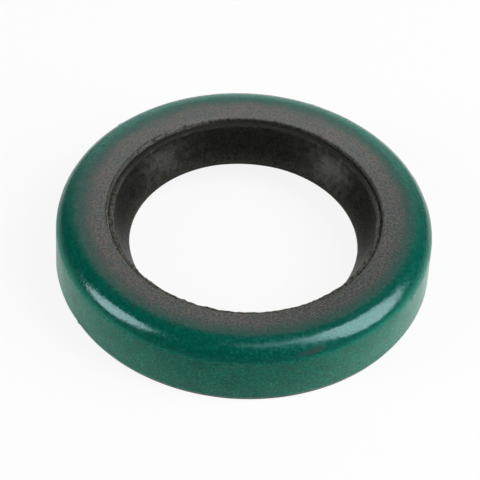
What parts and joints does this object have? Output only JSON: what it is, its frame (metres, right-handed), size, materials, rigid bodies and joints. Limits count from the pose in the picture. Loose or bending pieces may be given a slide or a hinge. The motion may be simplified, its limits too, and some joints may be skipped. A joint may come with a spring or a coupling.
{
  "type": "shift arm seal",
  "caption": "Ring-shaped shaft seal: a painted steel case to press into a housing bore, with a spring-loaded rubber lip that wipes the shaft of a shift arm.",
  "frame": {"origin": "on the shaft axis, in the plane of the open rim that the seal stands on", "axes": "+Z along the shaft axis, from the open oil side to the closed face"},
  "size_m": [0.0254, 0.0254, 0.0048],
  "materials": {
    "case_finish": "satin",
    "lip_rubber": "matte",
    "spring_steel": "satin"
  },
  "bodies": {
    "root": {"case": "case_finish", "sealing_lip": "lip_rubber", "garter_spring": "spring_steel"}
  },
  "joints": []
}
